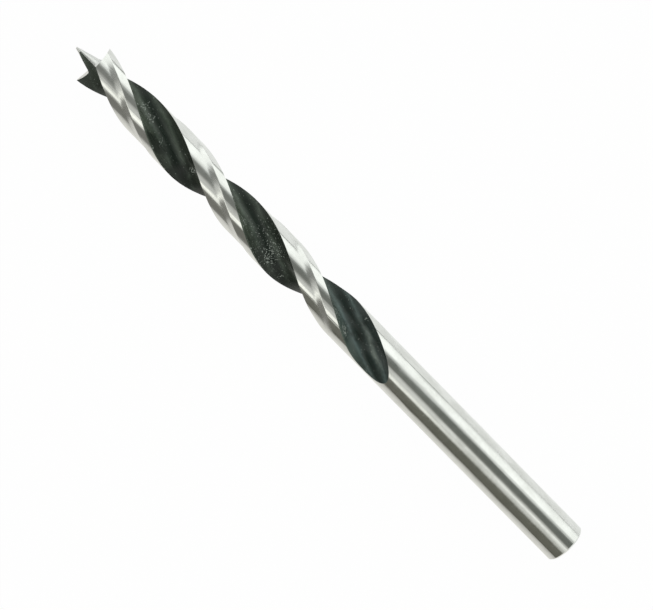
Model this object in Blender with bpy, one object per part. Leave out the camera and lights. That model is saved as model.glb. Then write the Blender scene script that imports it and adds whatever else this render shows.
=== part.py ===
"""Wood drill bit with a brad point: one piece of ground steel with two black helical flutes.

The bit's own frame has its origin at the tip of the centre point, and +X runs back to the shank.
Angles in a section are measured from +Y towards +Z, so a right-hand helix turns forwards along +X.
The bit lies on its side: its axis is level, and the lowest line of its shank is at world Z = 0.
"""

import math

import bpy
import numpy as np

MM = 0.001

# The whole bit
DIAMETER = 7.0 * MM
LENGTH = 109.0 * MM
SHANK_CHAMFER = 0.3 * MM

# The two flutes
FLUTE_LENGTH = 69.4 * MM
LEAD = 42.4 * MM
FLUTE_OPENING = math.radians(104.4)
ROOT_RADIUS = 1.9 * MM
ROOT_SHARE = 0.55
WEB_AT_TIP = 0.7 * MM
WEB_AT_RUNOUT = 1.5 * MM

# How a flute runs out into the shank: it gets shallow, then closes in a round end near its heel
SHALLOWING_LENGTH = 14.0 * MM
CLOSING_LENGTH = 8.0 * MM
CLOSING_SWING = math.radians(27.0)
LEAST_WIDTH = 0.2

# The land behind each cutting corner: a full-size margin, then a hollow step down to a clearance
MARGIN_ANGLE = math.radians(24.5)
STEP_ANGLE = math.radians(21.0)
STEP_HOLLOW = 2.8
CLEARANCE_DEPTH = 0.25 * MM
CLEARANCE_LENGTH = 54.0 * MM
CLEARANCE_FADE = 4.0 * MM

# The ground tip: a blunt centre point, and on each side a hollow lip that rises to a spur
POINT_BLUNT = 0.13 * MM
POINT_HALF_ANGLE = math.radians(16.5)
POINT_FILLET = 0.3 * MM
VALLEY_WIDTH = 0.25 * MM
LIP_DEPTH = 0.6 * MM
SPUR_SETBACK = 3.6 * MM
RELIEF_ANGLE = math.radians(8.0)
RELIEF_RETURN = 0.7
LIP_DIRECTION = math.radians(11.6)

# How finely the curves are divided
STATION_TURN = math.radians(6.0)
CLOSING_STATIONS = 16
MARGIN_STEPS = 4
STEP_STEPS = 4
CLEARANCE_STEPS = 5
WALL_STEPS = 2
ROOT_STEPS = 6
RAKE_STEPS = 3
FILLET_STEPS = 3
LIP_ARC_STEPS = 6
GRIND_STEPS = 72
SHARP_ANGLE = math.radians(28.0)

# How far the blank stands out in front of the tip, and the cutter beyond the blank
BLANK_OVERHANG = 0.4 * MM
CUTTER_OVERHANG = 0.8 * MM

# Where the shank is fully round behind the flutes
ROUND_AGAIN = 2.0 * MM

RADIUS = DIAMETER / 2
HALF_TURN = math.pi
LAND_STEPS = MARGIN_STEPS + STEP_STEPS + CLEARANCE_STEPS
FLUTE_STEPS = WALL_STEPS + ROOT_STEPS + RAKE_STEPS
RING_STEPS = 2 * (LAND_STEPS + FLUTE_STEPS)
STEEL = 0
BLACK = 1


def smooth_step(value):
    """Ease from 0 to 1 as value goes from 0 to 1."""
    clamped = min(max(value, 0.0), 1.0)
    return clamped * clamped * (3.0 - 2.0 * clamped)


def unit(angle):
    return np.array([math.cos(angle), math.sin(angle)])


def helix_angle_at(x):
    """Direction of the first leading edge at station x: the helix stops where the flutes end."""
    return LIP_DIRECTION + 2.0 * math.pi * (min(x, FLUTE_LENGTH) - SPUR_SETBACK) / LEAD


def clearance_at(x):
    """Depth of the body clearance, which fades out before the flutes do."""
    return CLEARANCE_DEPTH * (1.0 - smooth_step((x - CLEARANCE_LENGTH) / CLEARANCE_FADE))


def closing_at(x):
    """Width and depth of the flute at station x, as shares of its full width and depth."""
    left = max(FLUTE_LENGTH - x, 0.0)
    closing = 1.0 - min(left / CLOSING_LENGTH, 1.0)
    shallowing = 1.0 - min(left / SHALLOWING_LENGTH, 1.0)
    width = max(math.sqrt(1.0 - closing ** 2), LEAST_WIDTH)
    return width, 1.0 - shallowing ** 2


def tangent_point(start, centre, radius, side):
    """Where a line from start touches a circle, on its left (side 1) or right (side -1)."""
    reach = centre - start
    distance = math.hypot(*reach)
    heading = math.atan2(reach[1], reach[0]) + side * math.asin(radius / distance)
    return start + math.sqrt(distance ** 2 - radius ** 2) * unit(heading)


def arc_points(centre, radius, from_angle, to_angle, steps):
    """Points on an arc, both ends included."""
    turns = [from_angle + (to_angle - from_angle) * step / steps for step in range(steps + 1)]
    return [centre + radius * unit(turn) for turn in turns]


def flute_outline(x):
    """The flute before a leading edge at angle 0: heel wall, round root and rake face.

    The root is an arc that touches the web. Each wall is the straight line from the heel or from
    the leading edge that touches that arc. Gives the points as radius and angle, heel first.
    """
    share = min(max(x, 0.0) / FLUTE_LENGTH, 1.0)
    half_web = (WEB_AT_TIP + share * (WEB_AT_RUNOUT - WEB_AT_TIP)) / 2
    centre = (half_web + ROOT_RADIUS) * unit(-ROOT_SHARE * FLUTE_OPENING)
    heel = (RADIUS - clearance_at(x)) * unit(-FLUTE_OPENING)
    edge = RADIUS * unit(0.0)
    wall_end = tangent_point(heel, centre, ROOT_RADIUS, 1)
    rake_end = tangent_point(edge, centre, ROOT_RADIUS, -1)
    from_angle = math.atan2(*(wall_end - centre)[::-1]) % (2.0 * math.pi)
    to_angle = math.atan2(*(rake_end - centre)[::-1]) % (2.0 * math.pi)

    points = [heel + (wall_end - heel) * step / WALL_STEPS for step in range(WALL_STEPS)]
    points += arc_points(centre, ROOT_RADIUS, from_angle, to_angle, ROOT_STEPS)
    points += [rake_end + (edge - rake_end) * step / RAKE_STEPS for step in range(1, RAKE_STEPS)]
    return [(math.hypot(*point), math.atan2(point[1], point[0])) for point in points]


def half_ring(x):
    """Half of the section at station x, as radius and angle, from a leading edge at angle 0."""
    width, depth = closing_at(x)
    middle = -FLUTE_OPENING / 2 - CLOSING_SWING * (1.0 - width ** 2)
    land_start = middle + width * FLUTE_OPENING / 2
    heel = middle - width * FLUTE_OPENING / 2 + HALF_TURN
    clearance = clearance_at(x)

    ring = []
    for step in range(MARGIN_STEPS):
        angle = land_start + (MARGIN_ANGLE - land_start) * step / MARGIN_STEPS
        ring.append((RADIUS, angle))
    for step in range(STEP_STEPS):
        share = step / STEP_STEPS
        drop = clearance * (1.0 - (1.0 - share) ** STEP_HOLLOW)
        ring.append((RADIUS - drop, MARGIN_ANGLE + STEP_ANGLE * share))
    foot = MARGIN_ANGLE + STEP_ANGLE
    for step in range(CLEARANCE_STEPS):
        angle = foot + (heel - foot) * step / CLEARANCE_STEPS
        ring.append((RADIUS - clearance, angle))
    for radius, angle in flute_outline(x):
        shallow = RADIUS - (RADIUS - radius) * depth
        narrowed = middle + (angle + FLUTE_OPENING / 2) * width
        ring.append((shallow, narrowed + HALF_TURN))
    return ring


def fluted_ring(x):
    """The whole section at station x, as radius and angle in the bit's frame."""
    half = half_ring(x)
    turned = helix_angle_at(x)
    first = [(radius, angle + turned) for radius, angle in half]
    second = [(radius, angle + HALF_TURN) for radius, angle in first]
    return np.array(first + second)


def shank_ring():
    """A circle of evenly spaced points that has a flat facet at its lowest side."""
    flute_end = fluted_ring(FLUTE_LENGTH)[:, 1]
    step = 2.0 * math.pi / RING_STEPS
    start = flute_end.mean() - step * (RING_STEPS - 1) / 2
    lowest = -math.pi / 2
    start += (lowest - step / 2 - start) % step
    angles = start + step * np.arange(RING_STEPS)
    return np.column_stack([np.full(RING_STEPS, RADIUS), angles])


def blank_stations():
    """Stations along the flutes: even turns of the helix, then closer ones where they close."""
    closing_start = FLUTE_LENGTH - CLOSING_LENGTH
    travel = closing_start + BLANK_OVERHANG
    count = max(round(2.0 * math.pi * travel / LEAD / STATION_TURN), 2)
    along = [-BLANK_OVERHANG + travel * step / count for step in range(count)]
    for step in range(CLOSING_STATIONS + 1):
        share = step / CLOSING_STATIONS
        along.append(closing_start + CLOSING_LENGTH * math.sin(share * math.pi / 2))
    return along


def ring_points(ring, x):
    radius, angle = ring[:, 0], ring[:, 1]
    return np.column_stack([np.full(len(ring), x), radius * np.cos(angle), radius * np.sin(angle)])


def blank_rings():
    """The rings of the fluted part, from just before the tip, and the rings of the shank."""
    fluted = [ring_points(fluted_ring(x), x) for x in blank_stations()]
    round_end = shank_ring()
    chamfered = round_end - np.array([SHANK_CHAMFER, 0.0])
    shank = [ring_points(round_end, FLUTE_LENGTH + ROUND_AGAIN),
             ring_points(round_end, LENGTH - SHANK_CHAMFER),
             ring_points(chamfered, LENGTH)]
    return fluted, shank


def make_material(name, colour, roughness):
    material = bpy.data.materials.new(name)
    material.use_nodes = True
    shader = material.node_tree.nodes["Principled BSDF"]
    shader.inputs["Base Color"].default_value = (*colour, 1.0)
    shader.inputs["Metallic"].default_value = 1.0
    shader.inputs["Roughness"].default_value = roughness
    material.diffuse_color = (*colour, 1.0)
    return material


def loft_blank(materials):
    """Join the rings into a closed body, with the flutes' faces in the black finish."""
    fluted, shank = blank_rings()
    rings = fluted + shank
    points = np.concatenate(rings)
    half = RING_STEPS // 2
    faces = [tuple(range(RING_STEPS - 1, -1, -1))]
    finishes = [STEEL]
    for row in range(len(rings) - 1):
        in_flutes = row < len(fluted) - 1
        for column in range(RING_STEPS):
            after = (column + 1) % RING_STEPS
            base, above = row * RING_STEPS, (row + 1) * RING_STEPS
            faces.append((base + column, base + after, above + after, above + column))
            is_flute = in_flutes and column % half >= LAND_STEPS
            finishes.append(BLACK if is_flute else STEEL)
    last = (len(rings) - 1) * RING_STEPS
    faces.append(tuple(range(last, last + RING_STEPS)))
    finishes.append(STEEL)

    mesh = bpy.data.meshes.new("drill_bit")
    mesh.from_pydata(points.tolist(), [], faces)
    mesh.polygons.foreach_set("material_index", finishes)
    for material in materials:
        mesh.materials.append(material)
    mesh.shade_smooth()
    mesh.set_sharp_from_angle(angle=SHARP_ANGLE)
    mesh.update()
    return mesh


def lip_profile():
    """The ground form as radius and setback: blunt tip, cone, fillet and hollow lip to the spur.

    The lip is an arc that leaves the valley square to the axis and ends at the spur. The fillet
    touches the cone and that arc from inside.
    """
    flank = POINT_HALF_ANGLE
    valley_setback = SPUR_SETBACK + LIP_DEPTH
    valley = POINT_BLUNT + valley_setback * math.tan(flank) + VALLEY_WIDTH
    rise = RADIUS - valley
    lip_radius = (rise ** 2 + LIP_DEPTH ** 2) / (2.0 * LIP_DEPTH)
    lip_centre = np.array([valley, valley_setback - lip_radius])

    start = np.array([POINT_BLUNT, 0.0])
    down = np.array([math.sin(flank), math.cos(flank)])
    away = np.array([math.cos(flank), -math.sin(flank)])
    offset = start + POINT_FILLET * away - lip_centre
    along = offset @ down
    travel = math.sqrt(along ** 2 - offset @ offset + (lip_radius - POINT_FILLET) ** 2) - along
    fillet_centre = lip_centre + offset + travel * down
    meeting = math.atan2(*(fillet_centre - lip_centre)[::-1])
    spur = math.atan2(SPUR_SETBACK - lip_centre[1], rise)

    fillet = arc_points(fillet_centre, POINT_FILLET, math.pi - flank, meeting, FILLET_STEPS)
    lip = arc_points(lip_centre, lip_radius, meeting, spur, LIP_ARC_STEPS)
    slope = LIP_DEPTH / rise
    beyond = np.array([RADIUS + CUTTER_OVERHANG, SPUR_SETBACK - CUTTER_OVERHANG * slope])
    return [start] + fillet + lip[1:] + [beyond]


def relief_turn(behind):
    """How far round the relief has fallen: it rises behind each lip and returns in the flute."""
    fall = HALF_TURN - FLUTE_OPENING * RELIEF_RETURN
    behind %= HALF_TURN
    if behind < fall:
        return behind
    return fall * (HALF_TURN - behind) / (HALF_TURN - fall)


def grinding_cutter(material):
    """What the tip's grinding takes away: all that lies in front of the two relieved lips."""
    profile = lip_profile()
    front = -(BLANK_OVERHANG + CUTTER_OVERHANG)
    points = [(0.0, 0.0, 0.0)]
    for radius, setback in profile:
        for step in range(GRIND_STEPS):
            angle = LIP_DIRECTION + 2.0 * math.pi * step / GRIND_STEPS
            relief = radius * relief_turn(angle - LIP_DIRECTION) * math.tan(RELIEF_ANGLE)
            points.append((setback + relief, radius * math.cos(angle), radius * math.sin(angle)))
    outer = profile[-1][0]
    for step in range(GRIND_STEPS):
        angle = LIP_DIRECTION + 2.0 * math.pi * step / GRIND_STEPS
        points.append((front, outer * math.cos(angle), outer * math.sin(angle)))

    faces = []
    for step in range(GRIND_STEPS):
        after = (step + 1) % GRIND_STEPS
        faces.append((0, 1 + step, 1 + after))
        for row in range(len(profile)):
            inner = 1 + row * GRIND_STEPS
            further = inner + GRIND_STEPS
            faces.append((inner + step, further + step, further + after, inner + after))
    rim = 1 + len(profile) * GRIND_STEPS
    faces.append(tuple(range(rim + GRIND_STEPS - 1, rim - 1, -1)))

    mesh = bpy.data.meshes.new("tip_grinding")
    mesh.from_pydata(points, [], faces)
    mesh.materials.append(material)
    mesh.shade_smooth()
    mesh.set_sharp_from_angle(angle=SHARP_ANGLE)
    mesh.update()
    return mesh


def place(name, mesh):
    piece = bpy.data.objects.new(name, mesh)
    bpy.context.scene.collection.objects.link(piece)
    return piece


def build():
    for leftover in list(bpy.data.objects):
        bpy.data.objects.remove(leftover, do_unlink=True)

    ground_steel = make_material("ground_steel", (0.62, 0.62, 0.60), 0.25)
    black_oxide = make_material("black_oxide", (0.030, 0.036, 0.032), 0.42)

    drill_bit = place("drill_bit", loft_blank([ground_steel, black_oxide]))
    drill_bit.location = (-LENGTH / 2, 0.0, RADIUS)

    cutter = place("tip_grinding", grinding_cutter(ground_steel))
    cutter.parent = drill_bit
    cutter.hide_render = True
    cutter.display_type = "WIRE"

    grinding = drill_bit.modifiers.new("tip_grinding", "BOOLEAN")
    grinding.operation = "DIFFERENCE"
    grinding.solver = "EXACT"
    grinding.object = cutter


build()
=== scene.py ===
"""Looks of the brad point drill bit: one fine surface with its ground, blackened and worn finishes.

The bit's own frame, used by every surface function here, has its origin at the tip of the centre
point and +X runs back to the shank. Angles are measured from +Y towards +Z round the bit's axis.
"""

import math

import bpy
import numpy as np
from mathutils import Matrix, Vector


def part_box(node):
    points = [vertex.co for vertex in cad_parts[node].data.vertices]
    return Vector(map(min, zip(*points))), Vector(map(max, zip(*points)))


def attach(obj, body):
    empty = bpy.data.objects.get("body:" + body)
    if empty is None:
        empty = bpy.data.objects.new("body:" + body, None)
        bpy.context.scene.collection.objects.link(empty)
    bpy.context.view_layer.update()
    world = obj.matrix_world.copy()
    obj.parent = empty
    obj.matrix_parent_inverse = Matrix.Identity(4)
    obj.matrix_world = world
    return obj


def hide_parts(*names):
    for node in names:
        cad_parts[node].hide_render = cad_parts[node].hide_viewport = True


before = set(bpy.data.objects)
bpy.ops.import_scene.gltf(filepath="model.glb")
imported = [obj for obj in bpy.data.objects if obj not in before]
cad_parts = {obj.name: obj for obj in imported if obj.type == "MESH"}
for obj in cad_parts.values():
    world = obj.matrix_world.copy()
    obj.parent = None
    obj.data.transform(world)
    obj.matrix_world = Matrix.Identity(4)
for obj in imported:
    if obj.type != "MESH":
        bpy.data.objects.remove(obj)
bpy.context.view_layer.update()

MM = 0.001

# Driving sizes, as the real bit has them
BIT_LOW, BIT_HIGH = (np.array(corner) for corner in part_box("drill_bit"))
LENGTH = float(BIT_HIGH[0] - BIT_LOW[0])
RADIUS = float(BIT_HIGH[1] - BIT_LOW[1]) / 2
SHANK_CHAMFER = 0.3 * MM
FLUTE_LENGTH = 69.4 * MM
LEAD = 42.4 * MM
FLUTE_OPENING = math.radians(104.4)
# The root is an arc, at this share of the opening before the leading edge, and touches the web
ROOT_RADIUS = 1.9 * MM
ROOT_SHARE = 0.55
WEB_AT_TIP = 0.7 * MM
WEB_AT_RUNOUT = 1.5 * MM
# Towards its end the flute gets shallow and narrow, and swings to its heel
SHALLOWING_LENGTH = 14.0 * MM
CLOSING_LENGTH = 8.0 * MM
CLOSING_SWING = math.radians(27.0)
# The land: a margin of full size, a hollow step down, and a body clearance that fades out
MARGIN_ANGLE = math.radians(24.5)
STEP_ANGLE = math.radians(17.5)
STEP_HOLLOW = 1.6
CLEARANCE_DEPTH = 0.25 * MM
CLEARANCE_LENGTH = 54.0 * MM
CLEARANCE_FADE = 4.0 * MM
# The ground tip: a blunt cone, a filleted valley, and hollow lips out to the spurs, with relief
POINT_BLUNT = 0.13 * MM
POINT_EASE = 0.065 * MM
POINT_HALF_ANGLE = math.radians(16.5)
POINT_FILLET = 0.3 * MM
VALLEY_WIDTH = 0.25 * MM
LIP_DEPTH = 0.45 * MM
SPUR_SETBACK = 3.55 * MM
RELIEF_ANGLE = math.radians(3.0)
RELIEF_RETURN = 0.7
LIP_DIRECTION = math.radians(11.6)
AXIS_HEIGHT = RADIUS

# How finely the surface is divided: columns follow the section, rows follow the axis
MARGIN_COLUMNS = 14
STEP_COLUMNS = 14
CLEARANCE_COLUMNS = 22
WALL_COLUMNS = 12
ROOT_COLUMNS = 34
RAKE_COLUMNS = 14
FLUTE_ROWS = 250
CLOSING_ROWS = 44
SHANK_ROWS = 20
TIP_ROWS = 44
TRIM_HALVINGS = 40
# The rows leave the shape of the ground tip over the first length, and even out past the flutes
# over the second. The flute closes to the least width, so that no face there has no area
TRIM_FADE = 12.0 * MM
SPREAD_LENGTH = 3.0 * CLOSING_LENGTH
LEAST_WIDTH = 0.06
END_EASE = 0.04 * MM
END_RINGS = (1.0, 0.8, 0.6, 0.4, 0.2)
SHARP_ANGLE = math.radians(35.0)
HALF_TURN = math.pi

# The parts of half the section in their order, with their columns: the land, then the flute
SECTION_PARTS = (
    ("margin", MARGIN_COLUMNS), ("step", STEP_COLUMNS), ("clearance", CLEARANCE_COLUMNS),
    ("wall", WALL_COLUMNS), ("root", ROOT_COLUMNS), ("rake", RAKE_COLUMNS))
FLUTE_PARTS = ("wall", "root", "rake")
STEP_PART = 1
FIRST_FLUTE_PART = 3
PART_COLUMNS = [count for name, count in SECTION_PARTS]
HALF_COLUMNS = sum(PART_COLUMNS)
COLUMNS = 2 * HALF_COLUMNS

# The finishes in the order of the mesh's materials
STEEL, BLACK, TIP = 0, 1, 2


def smooth_step(value):
    """Ease from 0 to 1 as value goes from 0 to 1: 3v^2 - 2v^3."""
    clamped = np.clip(value, 0.0, 1.0)
    return clamped * clamped * (3.0 - 2.0 * clamped)


def helix_angle(x):
    """Direction of the first leading edge: a right-hand helix of the given lead, up to the run-out."""
    return LIP_DIRECTION + 2.0 * math.pi * (np.minimum(x, FLUTE_LENGTH) - SPUR_SETBACK) / LEAD


def clearance(x):
    """Depth of the body clearance, which fades out before the flutes do."""
    return CLEARANCE_DEPTH * (1.0 - smooth_step((x - CLEARANCE_LENGTH) / CLEARANCE_FADE))


def closing(x):
    """Width and depth of the flute as shares of the full ones: a quarter ellipse and a parabola."""
    left = np.maximum(FLUTE_LENGTH - x, 0.0)
    narrowing = 1.0 - np.minimum(left / CLOSING_LENGTH, 1.0)
    shallowing = 1.0 - np.minimum(left / SHALLOWING_LENGTH, 1.0)
    width = np.maximum(np.sqrt(1.0 - narrowing ** 2), LEAST_WIDTH)
    return width, 1.0 - shallowing ** 2


def flute_middle(width):
    """Angle of the flute's middle before its leading edge: it swings to the heel as it closes."""
    return -FLUTE_OPENING / 2 - CLOSING_SWING * (1.0 - width ** 2)


def tangent_point(start_y, start_z, centre_y, centre_z, radius, side):
    """Where a line from the start touches a circle, on its left (side 1) or right (side -1)."""
    reach_y, reach_z = centre_y - start_y, centre_z - start_z
    distance = np.hypot(reach_y, reach_z)
    heading = np.arctan2(reach_z, reach_y) + side * np.arcsin(radius / distance)
    travel = np.sqrt(distance ** 2 - radius ** 2)
    return start_y + travel * np.cos(heading), start_z + travel * np.sin(heading)


def flute_point(part, t, x):
    """A point of the flute, as radius and angle before the leading edge, at share t of one part.

    The root is an arc that touches the web; the heel wall and the rake face are the straight lines
    from the heel and from the leading edge that touch that arc.
    """
    share = np.clip(x / FLUTE_LENGTH, 0.0, 1.0)
    half_web = (WEB_AT_TIP + share * (WEB_AT_RUNOUT - WEB_AT_TIP)) / 2
    towards = -ROOT_SHARE * FLUTE_OPENING
    centre_y = (half_web + ROOT_RADIUS) * math.cos(towards)
    centre_z = (half_web + ROOT_RADIUS) * math.sin(towards)
    heel_radius = RADIUS - clearance(x)
    heel_y = heel_radius * math.cos(-FLUTE_OPENING)
    heel_z = heel_radius * math.sin(-FLUTE_OPENING)
    wall_y, wall_z = tangent_point(heel_y, heel_z, centre_y, centre_z, ROOT_RADIUS, 1)
    rake_y, rake_z = tangent_point(RADIUS, 0.0, centre_y, centre_z, ROOT_RADIUS, -1)
    if part == "wall":
        y, z = heel_y + (wall_y - heel_y) * t, heel_z + (wall_z - heel_z) * t
    elif part == "rake":
        y, z = rake_y + (RADIUS - rake_y) * t, rake_z * (1.0 - t)
    else:
        from_angle = np.arctan2(wall_z - centre_z, wall_y - centre_y) % (2.0 * math.pi)
        to_angle = np.arctan2(rake_z - centre_z, rake_y - centre_y) % (2.0 * math.pi)
        turned = from_angle + (to_angle - from_angle) * t
        y, z = centre_y + ROOT_RADIUS * np.cos(turned), centre_z + ROOT_RADIUS * np.sin(turned)
    return np.hypot(y, z), np.arctan2(z, y)


def section_point(part, t, x):
    """A point of half the section at station x, as radius and angle behind its leading edge."""
    width, depth = closing(x)
    middle = flute_middle(width)
    if part in FLUTE_PARTS:
        radius, angle = flute_point(part, t, x)
        shallow = RADIUS - (RADIUS - radius) * depth
        return shallow, middle + (angle + FLUTE_OPENING / 2) * width + HALF_TURN
    lowered = clearance(x)
    foot = MARGIN_ANGLE + STEP_ANGLE
    if part == "margin":
        start = middle + width * FLUTE_OPENING / 2
        return RADIUS + 0.0 * x, start + (MARGIN_ANGLE - start) * t
    if part == "step":
        drop = lowered * (1.0 - (1.0 - t) ** STEP_HOLLOW)
        return RADIUS - drop, MARGIN_ANGLE + STEP_ANGLE * t + 0.0 * x
    heel = middle - width * FLUTE_OPENING / 2 + HALF_TURN
    return RADIUS - lowered + 0.0 * x, foot + (heel - foot) * t


def section_grid(x):
    """Radius and angle of every column, for x given as rows by COLUMNS: both halves of the bit."""
    radii, angles = [], []
    for half in range(2):
        column = half * HALF_COLUMNS
        for name, count in SECTION_PARTS:
            t = np.arange(count) / count
            radius, angle = section_point(name, t, x[:, column:column + count])
            radii.append(radius)
            angles.append(angle + half * HALF_TURN)
            column += count
    return np.hstack(radii), np.hstack(angles) + helix_angle(x)


def eased_cone(setback):
    """The centre point's setback, with the start of its cone eased into the blunt end."""
    return 0.5 * (setback + np.sqrt(setback ** 2 + POINT_EASE ** 2))


def ground_profile(radius):
    """Setback of the ground form at a radius: blunt tip, cone, fillet, then a hollow lip.

    The lip is an arc that leaves the valley square to the axis and ends at the spur. The fillet
    touches the cone and that arc from inside.
    """
    flank = POINT_HALF_ANGLE
    valley_setback = SPUR_SETBACK + LIP_DEPTH
    valley = POINT_BLUNT + valley_setback * math.tan(flank) + VALLEY_WIDTH
    rise = RADIUS - valley
    lip_radius = (rise ** 2 + LIP_DEPTH ** 2) / (2.0 * LIP_DEPTH)
    lip_centre = np.array([valley, valley_setback - lip_radius])
    down = np.array([math.sin(flank), math.cos(flank)])
    away = np.array([math.cos(flank), -math.sin(flank)])
    offset = np.array([POINT_BLUNT, 0.0]) + POINT_FILLET * away - lip_centre
    along = offset @ down
    travel = math.sqrt(along ** 2 - offset @ offset + (lip_radius - POINT_FILLET) ** 2) - along
    fillet_centre = lip_centre + offset + travel * down
    cone_end = fillet_centre[0] - POINT_FILLET * math.cos(flank)
    outwards = (fillet_centre - lip_centre) / np.linalg.norm(fillet_centre - lip_centre)
    fillet_end = fillet_centre[0] + POINT_FILLET * outwards[0]

    blunt_start = -POINT_BLUNT / math.tan(flank)
    nose = eased_cone(blunt_start + radius / math.tan(flank)) - eased_cone(blunt_start)
    fillet = fillet_centre[1] + np.sqrt(
        np.maximum(POINT_FILLET ** 2 - (radius - fillet_centre[0]) ** 2, 0.0))
    lip = lip_centre[1] + np.sqrt(np.maximum(lip_radius ** 2 - (radius - lip_centre[0]) ** 2, 0.0))
    return np.where(radius < cone_end, nose, np.where(radius < fillet_end, fillet, lip))


def relief(radius, angle):
    """Drop of the relief: it grows with the way round from a lip and returns inside the flute."""
    fall = HALF_TURN - FLUTE_OPENING * RELIEF_RETURN
    behind = (angle - LIP_DIRECTION) % HALF_TURN
    turned = np.where(behind < fall, behind, fall * (HALF_TURN - behind) / (HALF_TURN - fall))
    return radius * turned * math.tan(RELIEF_ANGLE)


def ground_setback(radius, angle):
    """Where the ground tip's surface lies along the axis."""
    return ground_profile(radius) + relief(radius, angle)


def tip_trim():
    """Where each column of the section meets the ground tip, found by halving the interval."""
    low = np.zeros((1, COLUMNS))
    high = np.full((1, COLUMNS), 4.0 * SPUR_SETBACK)
    for halving in range(TRIM_HALVINGS):
        middle = (low + high) / 2
        radius, angle = section_grid(middle)
        outside = middle < ground_setback(radius, angle)
        low = np.where(outside, middle, low)
        high = np.where(outside, high, middle)
    return (low + high) / 2


def row_stations():
    """Stations of the rows: even along the flutes, closer where they close, then the shank."""
    closing_start = FLUTE_LENGTH - CLOSING_LENGTH
    even = closing_start * np.arange(FLUTE_ROWS) / FLUTE_ROWS
    closer = closing_start + CLOSING_LENGTH * np.sin(
        np.arange(CLOSING_ROWS + 1) / CLOSING_ROWS * math.pi / 2)
    shank_end = LENGTH - SHANK_CHAMFER
    shank = FLUTE_LENGTH + (shank_end - FLUTE_LENGTH) * np.arange(1, SHANK_ROWS + 1) / SHANK_ROWS
    return np.concatenate([even, closer, shank])


def to_world(x, radius, angle):
    """Points in the shared frame from station, radius and angle in the bit's own frame."""
    return np.stack([x - LENGTH / 2, radius * np.cos(angle), radius * np.sin(angle) + AXIS_HEIGHT],
                    axis=-1)


def body_grid():
    """The flutes, lands and shank as rows by COLUMNS.

    Every column starts on the ground tip. Past the flutes the columns spread evenly round the
    shank.
    """
    stations = row_stations()[:, None]
    trim = tip_trim()
    x = stations + trim * (1.0 - smooth_step(stations / TRIM_FADE))
    radius, angle = section_grid(x)
    flute_rows = FLUTE_ROWS + CLOSING_ROWS + 1
    last = angle[flute_rows - 1]
    even = last.mean() + (np.arange(COLUMNS) - (COLUMNS - 1) / 2) * 2.0 * math.pi / COLUMNS
    spread = smooth_step((stations[flute_rows:] - FLUTE_LENGTH) / SPREAD_LENGTH)
    angle[flute_rows:] = last + (even - last) * spread
    radius[flute_rows:] = RADIUS
    return x, radius, angle


def end_grid(angle):
    """The chamfer, with its corners eased, and the flat end face, as rings towards the axis."""
    rings = [(LENGTH - SHANK_CHAMFER + END_EASE, RADIUS - END_EASE),
             (LENGTH - END_EASE, RADIUS - SHANK_CHAMFER + END_EASE)]
    rings += [(LENGTH, (RADIUS - SHANK_CHAMFER - END_EASE) * share) for share in END_RINGS]
    x = np.array([ring[0] for ring in rings])[:, None] + 0.0 * angle
    radius = np.array([ring[1] for ring in rings])[:, None] + 0.0 * angle
    return x, radius, np.repeat(angle[None, :], len(rings), axis=0)


def tip_grid(radius, angle):
    """The ground tip inside the trimmed edge: straight spokes to the axis laid on the ground form."""
    share = 1.0 - np.arange(1, TIP_ROWS) / TIP_ROWS
    spokes = radius[None, :] * share[:, None]
    angles = np.repeat(angle[None, :], TIP_ROWS - 1, axis=0)
    return ground_setback(spokes, angles), spokes, angles


def grid_faces(rows):
    """Quads between neighbouring rows of a grid that closes round the axis."""
    row, column = np.meshgrid(np.arange(rows - 1), np.arange(COLUMNS), indexing="ij")
    after = (column + 1) % COLUMNS
    base, above = row * COLUMNS, (row + 1) * COLUMNS
    quads = np.stack([base + column, base + after, above + after, above + column], axis=-1)
    return quads.reshape(-1, 4)


def pole_faces(rows):
    """Triangles that close the first row on the tip's pole and the last row on the end's pole."""
    column = np.arange(COLUMNS)
    after = (column + 1) % COLUMNS
    last = (rows - 1) * COLUMNS
    tip_fan = np.stack([np.full(COLUMNS, rows * COLUMNS), after, column], axis=-1)
    end_fan = np.stack([np.full(COLUMNS, rows * COLUMNS + 1), last + column, last + after], axis=-1)
    return np.vstack([tip_fan, end_fan])


def part_shares():
    """For each column, the number of its part of the section, and its share of the way through."""
    kinds = np.repeat(np.arange(len(PART_COLUMNS)), PART_COLUMNS)
    shares = np.concatenate([np.arange(count) / count for count in PART_COLUMNS])
    return np.tile(kinds, 2), np.tile(shares, 2)


def face_finishes(rows, kinds):
    """The finish of every face: of the quads row by row, then of the two fans at the poles."""
    row_of = np.repeat(np.arange(rows - 1), COLUMNS)
    column_of = np.tile(np.arange(COLUMNS), rows - 1)
    on_tip = row_of < TIP_ROWS - 1
    before_shank = row_of < TIP_ROWS - 1 + FLUTE_ROWS + CLOSING_ROWS
    in_flute = (kinds[column_of] >= FIRST_FLUTE_PART) & before_shank
    finish = np.where(on_tip, TIP, np.where(in_flute, BLACK, STEEL))
    return np.concatenate([finish, np.full(COLUMNS, TIP), np.full(COLUMNS, STEEL)])


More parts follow.
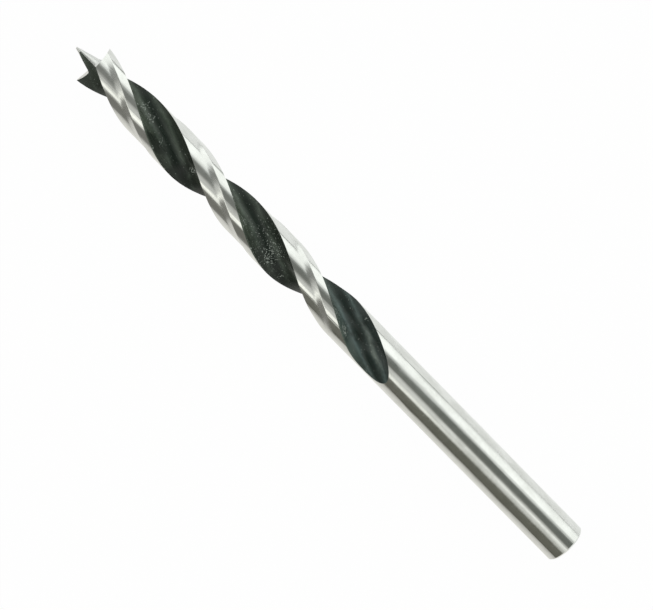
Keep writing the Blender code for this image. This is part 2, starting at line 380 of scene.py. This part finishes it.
def build_bit(materials):
    """One closed mesh: tip spokes, then the body rows, then the end, with a point at each pole."""
    body_x, body_radius, body_angle = body_grid()
    tip_x, tip_radius, tip_angle = tip_grid(body_radius[0], body_angle[0])
    end_x, end_radius, end_angle = end_grid(body_angle[-1])
    x = np.vstack([tip_x[::-1], body_x, end_x])
    radius = np.vstack([tip_radius[::-1], body_radius, end_radius])
    angle = np.vstack([tip_angle[::-1], body_angle, end_angle])
    points = to_world(x, radius, angle).reshape(-1, 3)
    rows = x.shape[0]
    tip_pole = to_world(ground_setback(np.zeros(1), np.zeros(1)), np.zeros(1), np.zeros(1))
    end_pole = to_world(np.full(1, LENGTH), np.zeros(1), np.zeros(1))
    points = np.vstack([points, tip_pole, end_pole])

    kinds, shares = part_shares()
    finishes = face_finishes(rows, kinds)
    mesh = bpy.data.meshes.new("drill_bit_surface")
    mesh.from_pydata(points.tolist(), [], grid_faces(rows).tolist() + pole_faces(rows).tolist())
    mesh.polygons.foreach_set("material_index", finishes.astype(np.int32))
    for material in materials:
        mesh.materials.append(material)
    mesh.update()
    map_surface(mesh, points, x, kinds, shares)
    mesh.shade_smooth()
    mesh.set_sharp_from_angle(angle=SHARP_ANGLE)
    sharpen_borders(mesh, finishes)
    mesh.update()
    piece = bpy.data.objects.new("drill_bit_surface", mesh)
    bpy.context.scene.collection.objects.link(piece)
    return piece


def sharpen_borders(mesh, finishes):
    """Keep the edges of the black finish crisp, also where the flute runs out at a low angle."""
    corners = np.empty(len(mesh.polygons), dtype=np.int32)
    mesh.polygons.foreach_get("loop_total", corners)
    edge_of = np.empty(len(mesh.loops), dtype=np.int32)
    mesh.loops.foreach_get("edge_index", edge_of)
    black = np.bincount(edge_of, weights=np.repeat(finishes == BLACK, corners))
    sharp = np.empty(len(mesh.edges), dtype=bool)
    mesh.edges.foreach_get("use_edge_sharp", sharp)
    mesh.edges.foreach_set("use_edge_sharp", sharp | (black == 1))


def add_point_values(mesh, name, values):
    """Keep one number for each point of the mesh, for the finishes to read."""
    attribute = mesh.attributes.new(name, "FLOAT", "POINT")
    attribute.data.foreach_set("value", values.astype(np.float32))


def map_surface(mesh, points, x, kinds, shares):
    """Places on the surface for its finishes.

    The UV map is in millimetres: U runs round the section as it is half-way along the flutes, and
    V along the bit. step_place is 1 in the hollow step beside each margin and fades over the first
    third of the land behind it. opening_place is 0 to 1 from heel to leading edge of the flute's
    opening straight above a point, and runs on over half of each land: arccos(y / R) less the turn
    of the helix, as a share of the opening. faces_up is 1 where the surface looks up and 0 where
    it looks down, and changes over 30 degrees.
    """
    radius, angle = section_grid(np.full((1, COLUMNS), FLUTE_LENGTH / 2))
    y, z = radius[0] * np.cos(angle[0]), radius[0] * np.sin(angle[0])
    steps = np.hypot(np.diff(y), np.diff(z))
    across = np.concatenate([[0.0], np.cumsum(steps)]) / MM
    rows = x.shape[0]
    around = np.concatenate([np.tile(across, rows), [0.0, 0.0]])
    along = np.concatenate([x.reshape(-1) / MM, [0.0, LENGTH / MM]])
    corners = np.empty(len(mesh.loops), dtype=np.int32)
    mesh.loops.foreach_get("vertex_index", corners)
    values = np.stack([around[corners], along[corners]], axis=-1)
    layer = mesh.uv_layers.new(name="surface_mm")
    layer.uv.foreach_set("vector", values.reshape(-1).astype(np.float32))

    fade = np.where(kinds == STEP_PART, 1.0, np.where(kinds == STEP_PART + 1, 1.0 - 3.0 * shares, 0.0))
    step_place = np.tile(np.clip(fade, 0.0, 1.0), rows)
    add_point_values(mesh, "step_place", np.concatenate([step_place, [0.0, 0.0]]))

    above = np.arccos(np.clip(points[:, 1] / RADIUS, -1.0, 1.0))
    turned = above - helix_angle(points[:, 0] + LENGTH / 2) - flute_middle(1.0) + FLUTE_OPENING / 2
    half_land = (HALF_TURN - FLUTE_OPENING) / 2
    place = (turned + half_land) % HALF_TURN - half_land
    add_point_values(mesh, "opening_place", place / FLUTE_OPENING)
    normals = np.empty(3 * len(points), dtype=np.float32)
    mesh.vertices.foreach_get("normal", normals)
    add_point_values(mesh, "faces_up", smooth_step((normals[2::3] + 0.25) / 0.5))


def linear(hex_colour):
    """An sRGB hex colour as linear red, green, blue and alpha."""
    parts = [int(hex_colour[place:place + 2], 16) / 255 for place in (1, 3, 5)]
    return [part / 12.92 if part <= 0.04045 else ((part + 0.055) / 1.055) ** 2.4
            for part in parts] + [1.0]


def scaled(hex_colour, level):
    """A colour as light of the given level."""
    return [part * level for part in linear(hex_colour)[:3]] + [1.0]


MAPPING = "ShaderNodeMapping"
NOISE = "ShaderNodeTexNoise"
RANGE = "ShaderNodeMapRange"
MATH = "ShaderNodeMath"
MIX = "ShaderNodeMix"
BUMP = "ShaderNodeBump"
ATTRIBUTE = "ShaderNodeAttribute"


def add_node(tree, kind, inputs=None, **settings):
    """Add a node: inputs gives a number, a colour, a socket or another node for each socket."""
    node = tree.nodes.new(kind)
    if kind == RANGE:
        node.interpolation_type = "SMOOTHSTEP"
    for name, value in settings.items():
        setattr(node, name, value)
    for name, value in (inputs or {}).items():
        if isinstance(value, bpy.types.Node):
            value = next(output for output in value.outputs if output.enabled)
        if isinstance(value, bpy.types.NodeSocket):
            tree.links.new(value, node.inputs[name])
        else:
            node.inputs[name].default_value = value
    return node


def new_material(name):
    """A material with only its Principled BSDF and output."""
    material = bpy.data.materials.new(name)
    material.use_nodes = True
    tree = material.node_tree
    return material, tree, tree.nodes["Principled BSDF"]


def finish_material(tree, shader, links):
    """Join finished patterns to the shader's sockets."""
    for name, node in links.items():
        tree.links.new(next(output for output in node.outputs if output.enabled), shader.inputs[name])


def ground_steel():
    """Tool steel, ground between centres and polished: crisp bands of light along the bit.

    Marks run round the bit every 0.1 mm. Faint flats 0.4 mm wide run along it, and a slow
    waviness comes every 2 mm round it and every 7 mm along it. They make the edges of the
    reflected bands wander. Its colour changes a little every 2 to 3 mm. The hollow steps are
    ground rougher.
    """
    material, tree, shader = new_material("ground_steel")
    place = add_node(tree, "ShaderNodeTexCoord").outputs["Object"]
    rings_place = add_node(tree, MAPPING, {"Vector": place, "Scale": (10000.0, 260.0, 260.0)})
    rings = add_node(tree, NOISE, {"Vector": rings_place, "Scale": 1.0, "Detail": 3.0})
    flats_place = add_node(tree, MAPPING, {"Vector": place, "Scale": (40.0, 2600.0, 2600.0)})
    flats = add_node(tree, NOISE, {"Vector": flats_place, "Scale": 1.0, "Detail": 2.0})
    waves_place = add_node(tree, MAPPING, {"Vector": place, "Scale": (150.0, 500.0, 500.0)})
    waves = add_node(tree, NOISE, {"Vector": waves_place, "Scale": 1.0, "Detail": 1.0})
    stain_place = add_node(tree, MAPPING, {"Vector": place, "Scale": (300.0, 500.0, 500.0)})
    stain = add_node(tree, NOISE, {"Vector": stain_place, "Scale": 1.0, "Detail": 5.0,
                                   "Roughness": 0.65})
    stained = add_node(tree, RANGE, {"Value": stain, "From Min": 0.3, "From Max": 0.7})
    colour = add_node(tree, MIX, {"Factor": stained, "A": linear("#d6d7d4"), "B": linear("#e4e5e3")},
                      data_type="RGBA")
    worked = add_node(tree, RANGE, {"Value": rings, "From Min": 0.3, "From Max": 0.7,
                                    "To Min": 0.10, "To Max": 0.17})
    step = add_node(tree, ATTRIBUTE, attribute_name="step_place").outputs["Fac"]
    rough = add_node(tree, MATH, {0: step, 1: 0.11, 2: worked}, operation="MULTIPLY_ADD")
    relief_rings = add_node(tree, BUMP, {"Height": rings, "Distance": 0.0015 * MM})
    relief_flats = add_node(tree, BUMP, {"Height": flats, "Distance": 0.016 * MM,
                                         "Normal": relief_rings})
    relief_waves = add_node(tree, BUMP, {"Height": waves, "Distance": 0.040 * MM,
                                         "Normal": relief_flats})
    finish_material(tree, shader, {"Base Color": colour, "Roughness": rough, "Normal": relief_waves})
    shader.inputs["Metallic"].default_value = 1.0
    return material


# The blackened flute's tones over its opening, from heel, 0, to leading edge, 1: painted reflections,
# two paler bands where the lit panels would show in the glossy black, and painted shade in the hollow
# between them
FLUTE_TONES_AND_REFLECTIONS = (
    (0.00, "#393f3b"), (0.08, "#363c38"), (0.16, "#39413d"), (0.25, "#5a6460"), (0.34, "#3a4440"),
    (0.43, "#1e2925"), (0.54, "#1d2924"), (0.64, "#3a443f"), (0.74, "#5f6a66"), (0.85, "#4f5852"),
    (1.00, "#4a534c"))
# How far the painted reflection bands spread towards -Y, as a share of their places for each metre
REFLECTION_BAND_DRIFT = 95.0
# A painted highlight, a paler streak on the heel side: its places over the opening, and along the bit
# in metres, where it rises and where it falls away
HIGHLIGHT_ACROSS = ((0.14, 0.25), (0.38, 0.26))
HIGHLIGHT_ALONG = ((4.0 * MM, 8.5 * MM), (14.0 * MM, 11.0 * MM))
HIGHLIGHT_SHARE = 0.42
# Along the bit in metres: where the black turns from bluish to neutral, and where the point is
# rubbed paler
POINTWARDS = (4.0 * MM, -8.0 * MM)
RUBBED_POINT = (-46.5 * MM, -49.5 * MM)

# Places worn to specks of bare steel: each one's middle and reach in millimetres, and how strongly
# it is worn there
WORN_PLACES = (
    ((-12.4, -0.1, 4.1), 7.0, 0.45), ((-11.9, -0.5, 4.1), 3.4, 0.85), ((-11.3, -1.8, 4.1), 2.0, 1.0),
    ((-41.0, 1.3, 3.4), 1.6, 0.8), ((-39.3, 0.6, 3.7), 1.5, 0.8), ((-28.9, -0.4, 3.8), 1.2, 1.0),
    ((-35.5, -1.0, 4.4), 0.9, 0.8), ((-18.2, -0.3, 5.1), 1.4, 1.0), ((-7.9, -2.3, 3.0), 0.8, 0.9),
    ((1.6, 0.1, 5.3), 1.9, 1.1), ((4.5, -1.2, 5.5), 1.7, 1.1), ((5.9, 2.5, 5.0), 0.7, 0.9))


def black_oxide():
    """Steel blackened in a hot oxide bath and oiled: green black with a soft gloss.

    The tone clouds over 3 to 6 mm, with painted shade darkening it low on the point's half and where
    the surface faces down, but the last 4 mm at the point are rubbed paler. It is bluer on the shank's
    third. Painted reflections lie in bands along the flute, and a painted highlight lies as a paler
    streak on the heel side shortly before the flute runs out. Chips have dragged faint marks along the
    flute, every 0.25 mm, and left bare specks 0.2 mm across.
    """
    material, tree, shader = new_material("black_oxide")
    place = add_node(tree, "ShaderNodeTexCoord").outputs["Object"]
    surface = add_node(tree, "ShaderNodeUVMap", uv_map="surface_mm")
    opening = add_node(tree, ATTRIBUTE, attribute_name="opening_place").outputs["Fac"]
    tone = oxide_tone_and_painted_light(tree, place, opening)
    bare = bare_specks(tree, place, opening)
    colour = add_node(tree, MIX, {"Factor": bare, "A": tone, "B": linear("#a2a9a3")},
                      data_type="RGBA")

    drag_place = add_node(tree, MAPPING, {"Vector": surface, "Scale": (4.0, 0.5, 1.0)})
    drag = add_node(tree, NOISE, {"Vector": drag_place, "Scale": 1.0, "Detail": 3.0})
    rough = add_node(tree, RANGE, {"Value": drag, "From Min": 0.3, "From Max": 0.7,
                                   "To Min": 0.26, "To Max": 0.36})
    relief_drag = add_node(tree, BUMP, {"Height": drag, "Distance": 0.008 * MM})
    relief_bare = add_node(tree, BUMP, {"Height": bare, "Distance": 0.010 * MM,
                                        "Normal": relief_drag})
    finish_material(tree, shader, {"Base Color": colour, "Roughness": rough, "Normal": relief_bare})
    shader.inputs["Specular IOR Level"].default_value = 0.3
    return material


def oxide_tone_and_painted_light(tree, place, opening):
    """The black's tone: painted reflections as bands along the flute, a painted highlight streak,
    painted shade where it faces down and low on the point's half, its own clouds, and rubbed edges.

    The painted bands wander by a few hundredths of the flute's width every 4 mm.
    """
    upwards = add_node(tree, ATTRIBUTE, attribute_name="faces_up").outputs["Fac"]
    wander_place = add_node(tree, MAPPING, {"Vector": place, "Scale": (250.0, 250.0, 250.0)})
    wander = add_node(tree, NOISE, {"Vector": wander_place, "Scale": 1.0, "Detail": 4.0,
                                    "Roughness": 0.6})
    shift = add_node(tree, RANGE, {"Value": wander, "From Min": 0.2, "From Max": 0.8,
                                   "To Min": -0.05, "To Max": 0.05})
    axes = add_node(tree, "ShaderNodeSeparateXYZ", {"Vector": place}).outputs
    drift = add_node(tree, MATH, {0: axes["Y"], 1: -REFLECTION_BAND_DRIFT, 2: 1.0}, operation="MULTIPLY_ADD")
    drifted = add_node(tree, MATH, {0: opening, 1: drift}, operation="MULTIPLY")
    reflection_band_place = add_node(tree, MATH, {0: drifted, 1: shift}, operation="ADD")
    # Painted reflections: the tones over the opening put the panels' reflections and the hollow's
    # shade into the colour
    reflection_tones = add_node(tree, "ShaderNodeValToRGB", {"Fac": reflection_band_place})
    stops = reflection_tones.color_ramp.elements
    for number, (share, tone) in enumerate(FLUTE_TONES_AND_REFLECTIONS):
        stop = stops[number] if number < 2 else stops.new(share)
        stop.position = share
        stop.color = linear(tone)
    # Painted highlight: a paler streak on the heel side
    highlight_strength = HIGHLIGHT_SHARE
    for value, sides in ((reflection_band_place, HIGHLIGHT_ACROSS), (axes["X"], HIGHLIGHT_ALONG)):
        for outside, inside in sides:
            side = add_node(tree, RANGE, {"Value": value, "From Min": outside, "From Max": inside})
            highlight_strength = add_node(tree, MATH, {0: side, 1: highlight_strength}, operation="MULTIPLY")
    with_painted_highlight = add_node(tree, MIX, {"Factor": highlight_strength, "A": reflection_tones, "B": linear("#8b8b7e")},
                     data_type="RGBA")
    # Painted shade: darker where the surface faces down
    painted_bands_and_shade = add_node(tree, MIX, {"Factor": upwards, "A": linear("#333a36"), "B": with_painted_highlight},
                      data_type="RGBA")
    cloud_place = add_node(tree, MAPPING, {"Vector": place, "Scale": (220.0, 330.0, 330.0)})
    cloud = add_node(tree, NOISE, {"Vector": cloud_place, "Scale": 1.0, "Detail": 5.0,
                                   "Roughness": 0.62})
    # Painted shade: the clouds darken towards -Y on the point's half
    low = add_node(tree, RANGE, {"Value": axes["Y"], "From Min": -0.2 * MM, "From Max": -2.0 * MM,
                                 "To Max": 0.22})
    pointwards = add_node(tree, RANGE, {"Value": axes["X"], "From Min": POINTWARDS[0],
                                        "From Max": POINTWARDS[1]})
    painted_low_shade = add_node(tree, MATH, {0: low, 1: pointwards}, operation="MULTIPLY")
    cloud_left = add_node(tree, MATH, {0: cloud, 1: painted_low_shade}, operation="SUBTRACT")
    clouds_and_painted_shade = add_node(tree, RANGE, {"Value": cloud_left, "From Min": 0.25, "From Max": 0.58,
                                     "To Min": 0.15, "To Max": 1.0})
    tint = add_node(tree, MIX, {"Factor": pointwards, "A": scaled("#edf8ff", 1.18),
                                "B": linear("#fffff1")}, data_type="RGBA")
    tinted = add_node(tree, MIX, {"Factor": 1.0, "A": painted_bands_and_shade, "B": tint},
                      data_type="RGBA", blend_type="MULTIPLY")
    # The dark colour stands for both the oxide's own clouds and painted shade low on the point's half
    toned = add_node(tree, MIX, {"Factor": clouds_and_painted_shade, "A": linear("#1e241f"), "B": tinted},
                     data_type="RGBA")
    at_point = add_node(tree, RANGE, {"Value": axes["X"], "From Min": RUBBED_POINT[0],
                                      "From Max": RUBBED_POINT[1], "To Max": 0.6})
    rubbed = add_node(tree, MIX, {"Factor": at_point, "A": toned, "B": linear("#4e554d")},
                      data_type="RGBA")
    edge = add_node(tree, RANGE, {"Value": opening, "From Min": 0.92, "From Max": 1.0,
                                  "To Max": 0.5})
    return add_node(tree, MIX, {"Factor": edge, "A": rubbed, "B": linear("#727b70")},
                    data_type="RGBA")


def bare_specks(tree, place, opening):
    """1 on bare steel: specks in the worn places, and chips 1.5 mm apart by the leading edge."""
    grain = add_node(tree, NOISE, {"Vector": place, "Scale": 4600.0, "Detail": 1.0})
    chips = add_node(tree, NOISE, {"Vector": place, "Scale": 700.0, "Detail": 1.0})
    chipped = add_node(tree, RANGE, {"Value": chips, "From Min": 0.54, "From Max": 0.62,
                                     "To Max": 0.8})
    rim = add_node(tree, RANGE, {"Value": opening, "From Min": 0.86, "From Max": 0.95})
    wear = add_node(tree, MATH, {0: chipped, 1: rim}, operation="MULTIPLY")
    for middle, reach, worn in WORN_PLACES:
        distance = add_node(tree, "ShaderNodeVectorMath",
                            {0: place, 1: [part * MM for part in middle]}, operation="DISTANCE")
        near = add_node(tree, RANGE, {"Value": distance.outputs["Value"], "From Min": reach * MM,
                                      "From Max": 0.1 * reach * MM, "To Max": worn})
        wear = add_node(tree, MATH, {0: wear, 1: near}, operation="MAXIMUM")
    worn_grain = add_node(tree, MATH, {0: wear, 1: 0.19, 2: grain}, operation="MULTIPLY_ADD")
    return add_node(tree, RANGE, {"Value": worn_grain, "From Min": 0.70, "From Max": 0.80})


def ground_tip():
    """The same steel where a wheel has ground the point, a little duller.

    Its marks run across the bit every 0.2 mm.
    """
    material, tree, shader = new_material("ground_tip_steel")
    place = add_node(tree, "ShaderNodeTexCoord").outputs["Object"]
    marks_place = add_node(tree, MAPPING, {"Vector": place, "Scale": (5000.0, 900.0, 900.0)})
    marks = add_node(tree, NOISE, {"Vector": marks_place, "Scale": 1.0, "Detail": 2.0})
    rough = add_node(tree, RANGE, {"Value": marks, "From Min": 0.3, "From Max": 0.7,
                                   "To Min": 0.26, "To Max": 0.36})
    relief_marks = add_node(tree, BUMP, {"Height": marks, "Distance": 0.001 * MM})
    finish_material(tree, shader, {"Roughness": rough, "Normal": relief_marks})
    shader.inputs["Base Color"].default_value = linear("#d9dad8")
    shader.inputs["Metallic"].default_value = 1.0
    return material


FLOOR_HALF = 3.0
# How much of the table's white is its own glow, to the camera and to the steel's reflections
BACKGROUND_SHARE = 0.98
# Where the steel sees the table fall into shade, along Y, and that shade's colour and level as the
# bit's point end sees it and as its shank end does
SHADE_START, SHADE_END = -4.0 * MM, -56.0 * MM
SHADES = (("#fdfcf4", 0.29), ("#fffde6", 0.11))
# The places on the table that those two ends see, as X over Y
SHADE_SLANTS = (-0.03, -0.17)


def white_table():
    """A matt white table top, shown white to the camera and in the steel's reflections.

    Towards -Y, beside the bit, the steel shows it a little warmer and falling into shade, deeper
    towards the shank.
    """
    material, tree, shader = new_material("white_table")
    shader.inputs["Base Color"].default_value = linear("#f2f3f1")
    shader.inputs["Roughness"].default_value = 0.9
    shader.inputs["Specular IOR Level"].default_value = 0.0
    rays = add_node(tree, "ShaderNodeLightPath").outputs
    plain = add_node(tree, MATH, {0: rays["Is Camera Ray"], 1: rays["Is Transmission Ray"]},
                     operation="MAXIMUM")
    shown = add_node(tree, MATH, {0: plain, 1: rays["Is Glossy Ray"]}, operation="MAXIMUM")
    share = add_node(tree, MATH, {0: shown, 1: BACKGROUND_SHARE}, operation="MULTIPLY")
    place = add_node(tree, "ShaderNodeTexCoord").outputs["Object"]
    axes = add_node(tree, "ShaderNodeSeparateXYZ", {"Vector": place}).outputs
    near = add_node(tree, RANGE, {"Value": axes["Y"], "From Min": SHADE_END,
                                  "From Max": SHADE_START}, interpolation_type="LINEAR")
    slant = add_node(tree, MATH, {0: axes["X"], 1: axes["Y"]}, operation="DIVIDE")
    shankwards = add_node(tree, RANGE, {"Value": slant, "From Min": SHADE_SLANTS[0],
                                        "From Max": SHADE_SLANTS[1]})
    shade = add_node(tree, MIX, {"Factor": shankwards, "A": scaled(*SHADES[0]),
                                 "B": scaled(*SHADES[1])}, data_type="RGBA")
    side = add_node(tree, RANGE, {"Value": axes["Y"], "From Min": -1.0 * MM, "From Max": 1.0 * MM})
    lit = add_node(tree, MIX, {"Factor": side, "A": linear("#f5f4ee"), "B": linear("#fcfefb")},
                   data_type="RGBA")
    mirrored = add_node(tree, MIX, {"Factor": near, "A": shade, "B": lit}, data_type="RGBA")
    tone = add_node(tree, MIX, {"Factor": plain, "A": mirrored, "B": linear("#ffffff")},
                    data_type="RGBA")
    glow = add_node(tree, "ShaderNodeEmission", {"Color": tone})
    mixed = add_node(tree, "ShaderNodeMixShader", {0: share, 1: shader, 2: glow})
    tree.links.new(mixed.outputs["Shader"], tree.nodes["Material Output"].inputs["Surface"])
    return material


def lay_floor():
    """The table the bit lies on."""
    half = FLOOR_HALF
    mesh = bpy.data.meshes.new("table_top")
    mesh.from_pydata([(-half, -half, 0.0), (half, -half, 0.0), (half, half, 0.0), (-half, half, 0.0)],
                     [], [(0, 1, 2, 3)])
    mesh.materials.append(white_table())
    floor = bpy.data.objects.new("table_top", mesh)
    bpy.context.scene.collection.objects.link(floor)


# The studio's soft panels, by the direction round the bit's axis, from overhead towards +Y. Each has
# its name, where it starts to glow, is full, starts to fade and has gone, in degrees, its colour,
# its level as the bit's point end shows it and as its shank end does, the directions along X
# between which that changes, and how far its start leans at each, in degrees
PANELS = (
    ("side_panel", (19.0, 46.0, 80.5, 88.5), "#fafdf9", (1.33, 1.32), (0.07, 0.29), (0.5, 2.5)),
    ("overhead_panel", (-56.0, -38.0, -17.0, 3.0), "#fdfef8", (0.62, 0.75), (0.12, 0.27), (-1.0, 7.2)),
    ("overhead_edge", (-25.0, -20.0, -18.0, -12.0), "#fdfff9", (0.64, 1.12), (0.24, 0.27), (0.0, 0.0)),
    ("low_edge", (-50.5, -38.0, -34.0, -26.0), "#fefff7", (1.34, 0.67), (0.205, 0.28), (-2.0, 9.4)),
)
# The dim light between the panels, above and below: colour and level as the point end shows it and
# as the shank end does, and the directions along X between which that changes. It changes from one
# to the other between the two directions round the axis
GLOOM_MEETS = (-60.0, 30.0)
DARK_ABOVE = (("#f7fbf4", 0.29), ("#f5fdf2", 0.18), (0.03, 0.25))
DARK_BELOW = (("#fbfaf0", 0.24), ("#fdfde8", 0.152), (0.09, 0.24))
# The room's two ends, towards -X and +X: the directions between which each starts to glow and is
# full, and its level
ENDS = ((-1.0, (0.35, 0.65), 1.0), (1.0, (0.55, 0.85), 0.85))
ENDS_COLOUR = "#fbfdf9"


def light_studio():
    """A dim room with soft panels along the bit, which the steel shows as bands, and pale ends."""
    world = bpy.data.worlds.new("studio")
    bpy.context.scene.world = world
    world.use_nodes = True
    tree = world.node_tree
    direction = add_node(tree, "ShaderNodeTexCoord").outputs["Generated"]
    axes = add_node(tree, "ShaderNodeSeparateXYZ", {"Vector": direction}).outputs
    turned = add_node(tree, MATH, {0: axes["Y"], 1: axes["Z"]}, operation="ARCTAN2")
    around = add_node(tree, MATH, {0: turned}, operation="DEGREES")

    gloom = []
    for near_point, near_shank, reach in (DARK_BELOW, DARK_ABOVE):
        change = add_node(tree, RANGE, {"Value": axes["X"], "From Min": reach[0],
                                        "From Max": reach[1]})
        gloom.append(add_node(tree, MIX, {"Factor": change, "A": scaled(*near_point),
                                          "B": scaled(*near_shank)}, data_type="RGBA"))
    above = add_node(tree, RANGE, {"Value": around, "From Min": GLOOM_MEETS[0],
                                   "From Max": GLOOM_MEETS[1]})
    light = add_node(tree, MIX, {"Factor": above, "A": gloom[0], "B": gloom[1]}, data_type="RGBA")
    for name, (start, full, fade, gone), colour, levels, reach, leans in PANELS:
        lean = add_node(tree, RANGE, {"Value": axes["X"], "From Min": reach[0], "From Max": reach[1],
                                      "To Min": leans[0], "To Max": leans[1]})
        leaning = add_node(tree, MATH, {0: around, 1: lean}, operation="SUBTRACT")
        rise = add_node(tree, RANGE, {"Value": leaning, "From Min": start, "From Max": full})
        fall = add_node(tree, RANGE, {"Value": around, "From Min": gone, "From Max": fade})
        share = add_node(tree, MATH, {0: rise, 1: fall}, operation="MULTIPLY")
        change = add_node(tree, RANGE, {"Value": axes["X"], "From Min": reach[0],
                                        "From Max": reach[1]})
        level = add_node(tree, MIX, {"Factor": change, "A": scaled(colour, levels[0]),
                                     "B": scaled(colour, levels[1])}, data_type="RGBA")
        light = add_node(tree, MIX, {"Factor": share, "A": light, "B": level},
                         data_type="RGBA", label=name)
    for sign, (start, full), level in ENDS:
        outwards = add_node(tree, MATH, {0: axes["X"], 1: sign}, operation="MULTIPLY")
        end = add_node(tree, RANGE, {"Value": outwards, "From Min": start, "From Max": full})
        light = add_node(tree, MIX, {"Factor": end, "A": light, "B": scaled(ENDS_COLOUR, level)},
                         data_type="RGBA")
    tree.links.new(light.outputs["Result"], tree.nodes["Background"].inputs["Color"])


# Camera, as the photograph has it: nearly overhead, the bit running down to the right
CAMERA_DISTANCE = 403.0 * MM
CAMERA_TILT = math.radians(11.0)
AIM = np.array([0.22, -0.39, 0.0]) * MM
FOCAL_PIXELS = 2624.0
IMAGE_WIDTH = 653
SENSOR_WIDTH = 36.0
BIT_SLOPE = math.radians(45.43)
CLIP_START = 0.01


def set_camera():
    """Aim the camera at the bit and turn it so that the bit runs down the image as photographed."""
    view = Vector((-math.sin(CAMERA_TILT), 0.0, math.cos(CAMERA_TILT)))
    along = Vector((math.cos(CAMERA_TILT), 0.0, math.sin(CAMERA_TILT)))
    across = Vector((0.0, 1.0, 0.0))
    right = along * math.cos(BIT_SLOPE) + across * math.sin(BIT_SLOPE)
    up = across * math.cos(BIT_SLOPE) - along * math.sin(BIT_SLOPE)
    data = bpy.data.cameras.new("camera")
    data.sensor_width = SENSOR_WIDTH
    data.lens = FOCAL_PIXELS * SENSOR_WIDTH / IMAGE_WIDTH
    data.clip_start = CLIP_START
    camera = bpy.data.objects.new("camera", data)
    bpy.context.scene.collection.objects.link(camera)
    aim = Vector(AIM) + Vector((0.0, 0.0, AXIS_HEIGHT))
    camera.matrix_world = (Matrix.Translation(aim + view * CAMERA_DISTANCE)
                           @ Matrix((right, up, view)).transposed().to_4x4())
    bpy.context.scene.camera = camera


set_camera()
light_studio()
lay_floor()
bit = build_bit([ground_steel(), black_oxide(), ground_tip()])
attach(bit, "root")
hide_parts("drill_bit")

bpy.context.scene.view_settings.view_transform = "Standard"
